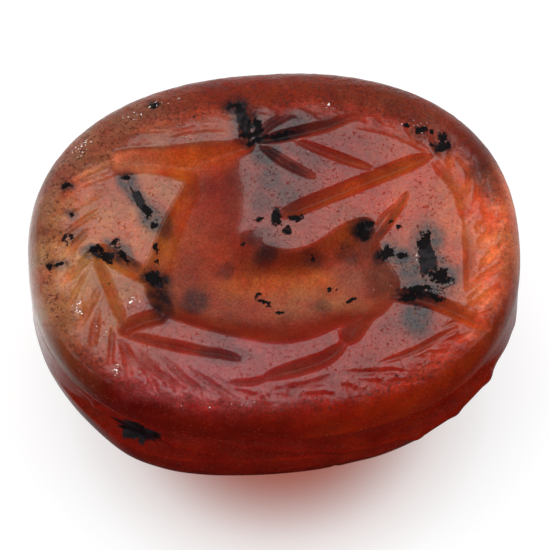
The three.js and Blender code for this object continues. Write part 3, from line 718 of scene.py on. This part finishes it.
# Sharp spots: middle on the picture in mm, half sizes, and turn in degrees if any
INK = [
    (-3.84, 5.64, 0.14, 0.1), (-6.85, 2.83, 0.16, 0.12), (-6.73, 1.77, 0.11, 0.13),
    (-2.55, 5.08, 0.07, 0.06), (-0.62, 4.05, 0.3, 0.1, 10), (0.1, 4.2, 0.6, 0.09, 12),
    (-0.72, 1.14, 0.16, 0.1, 25), (-0.1, 1.15, 0.15, 0.32, 12), (0.15, 0.68, 0.13, 0.14, 30),
    (0.5, 1.15, 0.3, 0.13, 10), (-4.9, 2.95, 0.16, 0.1), (-4.28, 1.75, 0.13, 0.26, 20),
    (-4.15, 1.2, 0.15, 0.14), (-7.02, 1.02, 0.09, 0.16, -40), (-6.83, 1, 0.08, 0.17, 35),
    (-6.93, 0.8, 0.06, 0.14), (-7.62, 0, 0.1, 0.12), (-7.25, 0, 0.18, 0.08), (-6.22, 0.44, 0.2, 0.11),
    (-5.92, 0.5, 0.16, 0.07, -30), (-5.72, 0.18, 0.1, 0.3, 32), (-5.42, 0.62, 0.15, 0.16),
    (-5.2, 0.22, 0.1, 0.38, 30), (-4.1, 0.42, 0.07, 0.22, 10), (-4.12, 0, 0.08, 0.08),
    (-4.24, -0.6, 0.34, 0.22), (-0.92, -1.25, 0.09, 0.07), (-0.68, -1.45, 0.24, 0.08, -20),
    (-0.52, -1.6, 0.08, 0.16), (-0.25, -1.96, 0.11, 0.08), (-1.29, 0.35, 0.09, 0.08),
    (0.94, -0.21, 0.09, 0.09), (1.42, -1.25, 0.09, 0.08), (2.05, -1.66, 0.26, 0.07, 15),
    (1.65, -1.2, 0.04, 0.05), (2.6, 0.55, 0.16, 0.24, 20), (2.88, 0.8, 0.18, 0.1),
    (2.8, 0.42, 0.08, 0.14), (3.35, -0.3, 0.24, 0.2, 20), (3.82, -0.42, 0.18, 0.15),
    (4.62, 0.05, 0.2, 0.34, -20), (5, -1.3, 0.34, 0.3, -30), (4.3, -1.68, 0.6, 0.1, -3),
    (4.75, -1.98, 0.34, 0.12, -25), (3.9, -1.9, 0.34, 0.14, 15), (-1.2, 5.3, 0.26, 0.14, -30),
    (-0.55, 4.6, 0.14, 0.3, 20), (-0.8, 4.3, 0.3, 0.14, 10), (4.3, 4.28, 0.12, 0.09),
    (4.77, 4.1, 0.22, 0.12, -5), (5.12, 3.98, 0.1, 0.1), (5.45, 3.72, 0.16, 0.14),
    (5.42, 3.42, 0.26, 0.2), (5.06, 3.51, 0.1, 0.08), (3.3, -4.72, 0.07, 0.07), (3.6, 0.82, 0.09, 0.09),
    (3.78, 0.6, 0.08, 0.07), (-5.75, -0.75, 0.04, 0.04), (6.95, 3.9, 0.14, 0.08, -40),
    (1.9, 0.2, 0.05, 0.05),
]


def blended_tone(x, y, table):
    """The tones of a table, each weighted by how near its zone is."""
    weights = np.array([np.exp(-1.4 * spot_share(x, y, *zone[:4]) ** 1.5) + 1e-6 for zone in table])
    tones = np.array([tone(*zone[4:]) for zone in table])
    return (weights.T @ tones) / weights.sum(axis=0)[:, None]


def blotches(x, y, spots, soft):
    """The strongest of a list of soft-edged spots at each place."""
    found = np.zeros(len(x))
    for strength, *place in spots:
        share = spot_share(x, y, *place)
        found = np.maximum(found, strength * (1 - smooth_step(share, 1 - soft, 1 + soft)))
    return found


def zone_tones(points, depth, bend):
    """The stone's colour and painted light and shade: zones of the field, the sunk picture, the rim and the
    deep red below.
    """
    x, y = on_picture(points)
    share = face_share(points)
    field = (x + 0.45 * grain(points, 1.8, 31.0), y + 0.45 * grain(points, 1.8, 43.0))
    # the sunk picture's tones, which hold painted glow and shade as well as colour
    sunk = (0.95 * smooth_step(depth, 0.0, 0.12))[:, None]
    colour = blended_tone(*field, FIELD_TONES) * (1 - sunk) + blended_tone(x, y, HOLLOW_TONES) * sunk
    outer = smooth_step(share + 0.03 * bend, 0.97, 1.09)[:, None]
    colour = colour * (1 - outer) + blended_tone(*field, RIM_TONES) * outer
    colour *= 1 + (0.5 * smooth_step(depth, 0.0, 0.05) * smooth_step(share, 0.88, 0.97))[:, None]
    below = smooth_step(GROOVE_FLOOR + 0.6 - points[:, 2], 0.0, 1.4)[:, None]
    return colour * (1 - below) + (0.75 * DEEP_TONE + 0.25 * colour) * below


def rim_wear(points, bend):
    """How worn the surface is: most on the rim at the back and left, not on the front wall."""
    x, y = on_picture(points)
    share = face_share(points)
    wear = smooth_step(share + 0.05 * bend, 0.92, 1.04)
    wear *= smooth_step(points[:, 2], FACE_HEIGHT - 1.6, FACE_HEIGHT - 0.8)
    wear *= 1 - smooth_step(share, 1.02, 1.07) * smooth_step(-y - 0.4 * x, -1.0, 1.5)
    return wear * (1 - 0.6 * smooth_step(x, 4.0, 6.0))


def paint(points):
    """Colour, blurred and sharp inclusions, wear, glints and cut at each place of the surface."""
    bend, twist = grain(points, 0.55, 11.0), grain(points, 0.55, 23.0)
    x, y = on_picture(points)
    depth = cut_depth(points)
    upper = smooth_step(points[:, 2], FACE_HEIGHT - 1.6, FACE_HEIGHT - 1.1)
    blurred = (x + 0.12 * bend, y + 0.12 * twist)
    sharp = (x + 0.09 * twist, y + 0.09 * bend)
    # where painted glints go: in the listed spots, and a few over the whole face
    glint = np.maximum(blotches(*blurred, GLINTS, 0.6), 0.05 * (face_share(points) < 0.98))
    return {
        "zone": zone_tones(points, depth, bend),
        "murk": upper * blotches(*blurred, MURK, 0.5),
        "ink": upper * blotches(*sharp, [(1.0, *spot) for spot in INK], 0.7),
        "wear": rim_wear(points, bend),
        "glint": upper * glint,
        "hollow": depth,
    }


def add_paint(mesh, paints):
    """Keeps each named value or colour for each point, for the materials to read."""
    for name, values in paints.items():
        if values.ndim == 1:
            kept = mesh.attributes.new(name, "FLOAT", "POINT")
            kept.data.foreach_set("value", values.astype(np.float32))
        else:
            kept = mesh.color_attributes.new(name, "FLOAT_COLOR", "POINT")
            full = np.column_stack([values, np.ones(len(values))])
            kept.data.foreach_set("color", full.astype(np.float32).ravel())


stone = make_stone()
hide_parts("scarab_stone")
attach(stone, "root")
add_paint(stone.data, paint(vertex_places(stone.data)))


# Black inclusions that break the surface

FLECKS = [
    # name, middle on the picture, half sizes, turn in degrees
    ("antler", -0.9, 4.8, (0.36, 0.72), 19),
    ("neck", -4.5, 2.05, (0.22, 0.82), 26),
    ("knee", -5.8, 0.29, (0.64, 0.16), -10),
    ("chest", -4.2, -0.64, (0.34, 0.46), 0),
    ("spear", -0.15, 1.29, (0.2, 0.34), -20),
    ("rump", 2.7, 0.7, (0.3, 0.28), 0),
    ("rear", 4.6, -0.64, (0.48, 0.78), -8),
    ("rim", 5.42, 3.4, (0.24, 0.26), 0),
]
# Rings of an inclusion as shares of its half sizes, and its measures
FLECK_SHARES = np.linspace(1, 1 / 9, 9)
FLECK_AROUND = 72
FLECK_RISE = 0.006
FLECK_DEPTH = 0.12
FLECK_EDGE = 0.02
FLECK_CLEAR = 1.5
# The one on the flank: its place as a share of the half length, half sizes and height
SIDE_ALONG = -0.626
SIDE_HALF = (1.25, 0.66)
SIDE_HEIGHT = 5.15


def ragged_radius(angle, seed):
    """An uneven outline, as a share of the full radius."""
    ways = np.column_stack([np.cos(angle), np.sin(angle), np.full(len(angle), seed)])
    return np.clip(0.78 + 0.3 * grain(ways, 0.8) + 0.16 * grain(ways, 0.2, 5.0), 0.4, 1.0)


def fleck_points(surface, middle, out, along, half, turn, seed):
    """Rings of a thin ragged body: out under the stone's surface, then back along it."""
    middle, out, along = Vector(middle), Vector(out), Vector(along)
    aside = out.cross(along)
    angle = np.linspace(0, 2 * math.pi, FLECK_AROUND, endpoint=False)
    ragged = ragged_radius(angle, seed)
    a, b = ragged * np.cos(angle) * half[0], ragged * np.sin(angle) * half[1]
    tilt = math.radians(turn)
    u, v = a * math.cos(tilt) - b * math.sin(tilt), a * math.sin(tilt) + b * math.cos(tilt)
    under, upper = [], []
    for share in FLECK_SHARES:
        places = [middle + along * over + aside * up + out * FLECK_CLEAR
                  for over, up in zip(share * u, share * v)]
        found = [surface.ray_cast(place, -out)[0] for place in places]
        drop = FLECK_EDGE + FLECK_DEPTH * (1 - share**2)
        rise = FLECK_RISE * (1 - 2 * share**6)
        under = [place - out * drop for place in found] + under
        upper += [place + out * rise for place in found]
    return np.array(under + upper)


def make_fleck(name, points):
    piece = mesh_from(name + "_fleck", points, tube_faces(2 * len(FLECK_SHARES), FLECK_AROUND))
    edge = np.repeat([*FLECK_SHARES[::-1], *FLECK_SHARES], FLECK_AROUND)
    add_paint(piece.data, paint(points) | {"edge": edge})
    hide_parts(name + "_inclusion")
    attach(piece, "root")
    return piece


def side_place():
    """Middle, outward and lengthwise directions of the inclusion on the flank."""
    x = SIDE_ALONG * WALL_HALF[0]
    y = -outline_share(SIDE_ALONG) * WALL_HALF[1]
    power = OUTLINE_ROUNDNESS - 1
    out = np.array([-(abs(x / WALL_HALF[0]) ** power) / WALL_HALF[0],
                    -(abs(y / WALL_HALF[1]) ** power) / WALL_HALF[1], 0.0])
    out /= np.linalg.norm(out)
    return (x, y, SIDE_HEIGHT), out, (-out[1], out[0], 0.0)


def make_flecks(stone):
    faces = [tuple(face.vertices) for face in stone.data.polygons]
    surface = BVHTree.FromPolygons(vertex_places(stone.data).tolist(), faces)
    flecks = []
    for seed, (name, x, y, half, turn) in enumerate(FLECKS):
        middle = (x + PICTURE_MIDDLE[0], y + PICTURE_MIDDLE[1], FACE_HEIGHT)
        points = fleck_points(surface, middle, (0, 0, 1), (1, 0, 0), half, turn, seed + 0.5)
        flecks.append(make_fleck(name, points))
    points = fleck_points(surface, *side_place(), SIDE_HALF, 0, len(FLECKS) + 0.5)
    return [*flecks, make_fleck("side", points)]


flecks = make_flecks(stone)


# Materials

STONE_IOR = 1.54
# How far light spreads in the stone in mm, and in red, green and blue as ratios
GLOW_DEPTH = 0.5
GLOW_RATIOS = (1.0, 0.3, 0.16)


class Nodes:
    """Short calls for building the nodes of one material or world."""

    def __init__(self, owner):
        owner.use_nodes = True
        self.owner = owner
        self.tree = owner.node_tree
        self.shader = self.tree.nodes.get("Principled BSDF")

    def add(self, kind, links=(), **settings):
        node = self.tree.nodes.new("ShaderNode" + kind)
        for name, value in settings.items():
            setattr(node, name, value)
        self.put(node, dict(links))
        return node

    def put(self, node, links):
        """Joins an output to each named socket, or sets the socket to a constant."""
        for socket, value in links.items():
            if isinstance(value, bpy.types.NodeSocket):
                self.tree.links.new(value, node.inputs[socket])
            else:
                node.inputs[socket].default_value = value

    def value(self, name, output="Fac"):
        return self.add("Attribute", attribute_name=name).outputs[output]

    def math(self, operation, a, b=0.0):
        return self.add("Math", {0: a, 1: b}, operation=operation).outputs[0]

    def plus(self, a, b):
        return self.math("ADD", a, b)

    def minus(self, a, b):
        return self.math("SUBTRACT", a, b)

    def times(self, a, b):
        return self.math("MULTIPLY", a, b)

    def most(self, value, *others):
        for other in others:
            value = self.math("MAXIMUM", value, other)
        return value

    def remap(self, value, low, high, to_low=0.0, to_high=1.0, smooth=True):
        kind = "SMOOTHSTEP" if smooth else "LINEAR"
        ends = {"Value": value, "From Min": low, "From Max": high, "To Min": to_low, "To Max": to_high}
        return self.add("MapRange", ends, interpolation_type=kind).outputs["Result"]

    def between(self, share, low, high):
        return self.remap(share, 0.0, 1.0, low, high)

    def noise(self, size, detail=3.0, rough=0.5):
        """Noise with lumps of this size in millimetres."""
        place = self.add("TexCoord").outputs["Object"]
        settings = {"Vector": place, "Scale": 1 / (size * MM), "Detail": detail, "Roughness": rough}
        return self.add("TexNoise", settings).outputs["Fac"]

    def mix(self, share, a, b, blend="MIX"):
        """Two colours mixed. The node's sockets share their names, so they go by number."""
        return self.add("Mix", {0: share, 6: a, 7: b}, data_type="RGBA", blend_type=blend).outputs[2]

    def shade(self, colour, light):
        """A colour made lighter or darker by a number."""
        grey = self.add("CombineColor", {0: light, 1: light, 2: light}).outputs[0]
        return self.mix(1.0, colour, grey, "MULTIPLY")

    def bump(self, height, distance, strength, under=None):
        """A bump some millimetres high, over another one."""
        links = {"Height": height, "Distance": distance * MM, "Strength": strength}
        if under is not None:
            links["Normal"] = under
        return self.add("Bump", links).outputs[0]


def rgba(red, green, blue):
    """A tone as a shader's socket takes it."""
    return (*map(float, tone(red, green, blue)), 1.0)


def grit(n, wear):
    """Short worm-like scratches and pits in the polish, 0 to 1, more of them where it is worn."""
    bends = n.math("ABSOLUTE", n.minus(n.noise(0.3, 2.0), 0.5))
    lines = n.minus(1.0, n.remap(bends, 0.004, 0.014))
    lines = n.times(lines, n.remap(n.noise(0.22, 1.0), 0.57, 0.63))
    dots = n.minus(1.0, n.remap(n.noise(0.11, 2.0), 0.31, 0.36))
    share = n.times(n.most(lines, dots), n.remap(n.noise(1.6, 2.0), 0.36, 0.52, 0.4, 1.0))
    return n.times(share, n.remap(wear, 0.0, 0.5, 0.8, 1.0))


def clouded(n, colour):
    """A colour with clouds, fine lumps and warmer patches."""
    colour = n.shade(colour, n.remap(n.noise(1.2, 6.0, 0.65), 0.28, 0.72, 0.66, 1.3, smooth=False))
    colour = n.shade(colour, n.remap(n.noise(0.08, 4.0, 0.7), 0.35, 0.65, 0.78, 1.2))
    warmth = n.remap(n.noise(0.9, 4.0, 0.6), 0.3, 0.7)
    return n.mix(1.0, colour, n.mix(warmth, (0.96, 0.68, 0.62, 1), (1.04, 1.34, 1.2, 1)), "MULTIPLY")


def polish(n, wear, pits, crisp):
    """How rough and how shiny the stone is: matt in the sunk picture, in pits and on black grains."""
    sunk = n.remap(n.value("hollow"), 0.0, 0.08)
    rough = n.plus(n.between(wear, 0.16, 0.2), n.remap(n.noise(0.4), 0.3, 0.7, -0.03, 0.05))
    rough = n.most(rough, n.between(sunk, 0.1, 0.36), n.between(pits, 0.1, 0.6), n.between(crisp, 0.1, 0.8))
    dull = n.most(n.times(sunk, 0.85), n.times(wear, 0.9), crisp, n.times(pits, 0.95))
    dull = n.plus(dull, n.remap(n.noise(0.1, 5.0, 0.75), 0.35, 0.65, -0.2, 0.4))
    shine = n.remap(dull, -0.1, 1.0, 0.56, 0.12, smooth=False)
    uneven = n.between(wear, 0.08, 0.8)
    bump = n.bump(n.minus(1.0, pits), 0.012, 0.7)
    bump = n.bump(n.noise(0.06, 3.0), 0.04, uneven, bump)
    bump = n.bump(n.noise(0.28, 4.0, 0.6), 0.08, uneven, bump)
    n.put(n.shader, {"Roughness": rough, "Specular IOR Level": shine, "Normal": bump})


def carnelian():
    n = Nodes(bpy.data.materials.new("carnelian"))
    wear, glint = n.value("wear"), n.value("glint")
    colour = clouded(n, n.value("zone", "Color"))
    # dark pits and brown specks
    pits = grit(n, wear)
    colour = n.mix(n.times(pits, 0.6), colour, rgba(134, 30, 12))
    specks = n.remap(n.noise(0.12, 4.0, 0.65), 0.52, 0.62)
    specks = n.times(specks, n.remap(wear, 0.0, 0.8, 0.05, 0.85))
    colour = n.mix(specks, colour, rgba(84, 30, 18))
    # blurred and sharp black inclusions
    blur = n.times(n.value("murk"), n.remap(n.noise(0.3, 4.0, 0.65), 0.32, 0.56, 0.6, 1.0))
    colour = n.mix(blur, colour, rgba(24, 18, 22))
    ragged = n.remap(n.noise(0.15, 4.0, 0.7), 0.3, 0.7, -0.46, 0.46)
    crisp = n.remap(n.plus(n.value("ink"), ragged), 0.4, 0.64)
    colour = n.mix(crisp, colour, rgba(16, 10, 12))
    # painted glints: white dots standing in for sparkles of light on the worn polish
    least, full = n.remap(glint, 0.0, 0.9, 0.84, 0.6), n.remap(glint, 0.0, 0.9, 0.88, 0.7)
    painted_glints = n.times(n.remap(n.noise(0.09, 1.0), least, full), n.remap(glint, 0.0, 0.04))
    colour = n.mix(painted_glints, colour, (1.0, 0.96, 0.93, 1.0))
    solid = n.most(painted_glints, crisp, blur, specks, n.times(pits, 0.8), 0.25)
    n.put(n.shader, {"Base Color": colour, "Subsurface Weight": n.minus(1.0, solid), "IOR": STONE_IOR,
                     "Subsurface Radius": GLOW_RATIOS, "Subsurface Scale": GLOW_DEPTH * MM})
    polish(n, wear, pits, crisp)
    return n.owner


def black_mineral():
    """Black grains: glazed by the stone's polish, with dull cores, fading into the stone at their edges."""
    n = Nodes(bpy.data.materials.new("black_mineral"))
    fade = n.plus(n.value("edge"), n.remap(n.noise(0.16, 4.0, 0.65), 0.3, 0.7, -0.25, 0.25))
    dark = n.mix(n.remap(n.noise(0.2, 3.0), 0.35, 0.6), rgba(12, 9, 11), rgba(36, 29, 34))
    colour = n.mix(n.remap(fade, 0.85, 1.15, 0.0, 0.7), dark, n.value("zone", "Color"))
    dull = n.remap(n.plus(n.value("ink"), n.remap(n.noise(0.1, 2.0), 0.3, 0.7, -0.3, 0.3)), 0.42, 0.58)
    n.put(n.shader, {"Base Color": n.mix(dull, colour, rgba(16, 10, 12)),
                     "Roughness": n.between(dull, 0.34, 0.8),
                     "Normal": n.bump(n.noise(0.16, 4.0, 0.6), 0.08, 0.8),
                     "IOR": STONE_IOR, "Specular IOR Level": 0.18})
    return n.owner


stone.data.materials.append(carnelian())
black = black_mineral()
for fleck in flecks:
    fleck.data.materials.append(black)


# Stage

# Painted shadow and red glow on the table, where light through the stone would fall: its middle and half
# sizes in mm, and its tones by share of the way out
PATCH_MIDDLE = -2.5
PATCH_HALF = (4.6, 4.3)
PATCH_REACH = 1.6
PATCH_TONES = [
    (0.35, (176, 90, 72)), (0.6, (180, 112, 100)), (0.85, (208, 180, 176)),
    (1.1, (242, 234, 233)), (1.45, (255, 255, 255)),
]
TABLE_SIZE = 2
TABLE_GLOW = 0.62


def painted_shadow_glow(n, x, y):
    """White, with a painted shadow and red glow where light comes through the stone."""
    along = n.math("DIVIDE", x, PATCH_HALF[0] * MM)
    aside = n.math("DIVIDE", n.minus(y, PATCH_MIDDLE * MM), PATCH_HALF[1] * MM)
    out = n.math("SQRT", n.plus(n.times(along, along), n.times(aside, aside)))
    ramp = n.add("ValToRGB", {0: n.math("DIVIDE", out, PATCH_REACH)})
    stops = ramp.color_ramp.elements
    ramp.color_ramp.interpolation = "B_SPLINE"
    while len(stops) < len(PATCH_TONES):
        stops.new(0.5)
    for stop, (share, seen) in zip(stops, PATCH_TONES):
        stop.position = share / PATCH_REACH
        stop.color = rgba(*seen)
    return ramp.outputs["Color"]


def table_material():
    """White for the camera with a painted shadow and red glow, and for the stone's gloss behind it and less
    so at its right.
    """
    n = Nodes(bpy.data.materials.new("white_table"))
    x, y, _ = n.add("SeparateXYZ", {0: n.add("TexCoord").outputs["Object"]}).outputs
    # painted shadow and red glow on the table in front of the stone
    shadow_glow_tint = painted_shadow_glow(n, x, y)
    path = n.add("LightPath").outputs
    behind = n.times(n.remap(y, -6 * MM, 3 * MM), n.remap(x, 5 * MM, 8.5 * MM, 1.0, 0.5))
    dimmed = n.times(path["Is Glossy Ray"], n.minus(1.0, behind))
    albedo = n.remap(dimmed, 0.0, 1.0, 0.5, 0.02, smooth=False)
    n.put(n.shader, {"Base Color": n.shade(shadow_glow_tint, albedo), "Roughness": 0.6, "Specular IOR Level": 0.0})
    seen = n.plus(path["Is Camera Ray"], n.times(path["Is Glossy Ray"], behind))
    seen = n.plus(seen, path["Is Transmission Ray"])
    # the table's glow carries the painted shadow and red glow too
    glow = n.add("Emission", {"Color": shadow_glow_tint, "Strength": n.times(seen, TABLE_GLOW)})
    both = n.add("AddShader", {0: n.shader.outputs[0], 1: glow.outputs[0]})
    n.put(n.tree.nodes["Material Output"], {"Surface": both.outputs[0]})
    return n.owner


bpy.ops.mesh.primitive_plane_add(size=TABLE_SIZE)
floor = bpy.context.object
floor.name = "table"
floor.data.materials.append(table_material())


def studio_world():
    """White for the camera; for gloss, brighter behind the stone and dim in front."""
    n = Nodes(bpy.data.worlds.new("studio"))
    path = n.add("LightPath").outputs
    way = n.add("SeparateXYZ", {0: n.add("TexCoord").outputs["Generated"]}).outputs
    glossy = n.remap(way[1], -0.1, 0.9, 0.04, 0.22, smooth=False)
    fill = n.add("Mix", {0: path["Is Glossy Ray"], 2: 0.66, 3: glossy}).outputs[0]
    seen = n.add("Mix", {0: path["Is Camera Ray"], 2: fill, 3: 1.0}).outputs[0]
    n.put(n.tree.nodes["Background"], {"Color": (1, 1, 1, 1), "Strength": seen})
    return n.owner


bpy.context.scene.world = studio_world()


def way_to(azimuth, elevation):
    """The direction from the stone to something seen at these angles in degrees."""
    a, e = math.radians(azimuth), math.radians(elevation)
    return Vector((math.sin(a) * math.cos(e), -math.cos(a) * math.cos(e), math.sin(e)))


LAMP_DISTANCE = 0.3
LAMPS = [
    # name, azimuth, elevation, size in metres, radiance
    ("back_softbox", 184, 64, 0.21, 1.98),
    ("left_softbox", -80, 35, 0.2, 1.3),
    ("right_softbox", 85, 35, 0.2, 0.9),
]


def lamp(name, azimuth, elevation, size, radiance):
    """A square lamp that looks at the stone from this direction."""
    data = bpy.data.lights.new(name, "AREA")
    data.shape = "SQUARE"
    data.size = size
    data.energy = radiance * math.pi * size**2
    placed = bpy.data.objects.new(name, data)
    back = way_to(azimuth, elevation)
    placed.location = back * LAMP_DISTANCE + Vector((0, 0, FACE_HEIGHT * MM))
    placed.rotation_euler = back.to_track_quat("Z", "Y").to_euler()
    bpy.context.scene.collection.objects.link(placed)


for settings in LAMPS:
    lamp(*settings)

# Camera at the photograph's angle. The stone's place and size in the picture are in pixels
CAMERA_AZIMUTH = -4
CAMERA_ELEVATION = 64
PIXELS_PER_MM = 30.94
FACE_MIDDLE_ROW = 239
STONE_SHIFT = 1
PICTURE_SIDE = 550
LENS = 500
camera_data = bpy.data.cameras.new("camera")
camera_data.lens = LENS
camera = bpy.data.objects.new("camera", camera_data)
bpy.context.scene.collection.objects.link(camera)
bpy.context.scene.camera = camera
back = way_to(CAMERA_AZIMUTH, CAMERA_ELEVATION)
up = way_to(CAMERA_AZIMUTH + 180, 90 - CAMERA_ELEVATION)
rise = (FACE_MIDDLE_ROW - PICTURE_SIDE / 2) / PIXELS_PER_MM
target = Vector((STONE_SHIFT / PIXELS_PER_MM, 0, FACE_HEIGHT)) + up * rise
distance = PICTURE_SIDE / PIXELS_PER_MM * LENS / camera_data.sensor_width
camera.location = (target + back * distance) * MM
camera.rotation_mode = "QUATERNION"
camera.rotation_quaternion = back.to_track_quat("Z", "Y")
bpy.context.scene.view_settings.view_transform = "Standard"
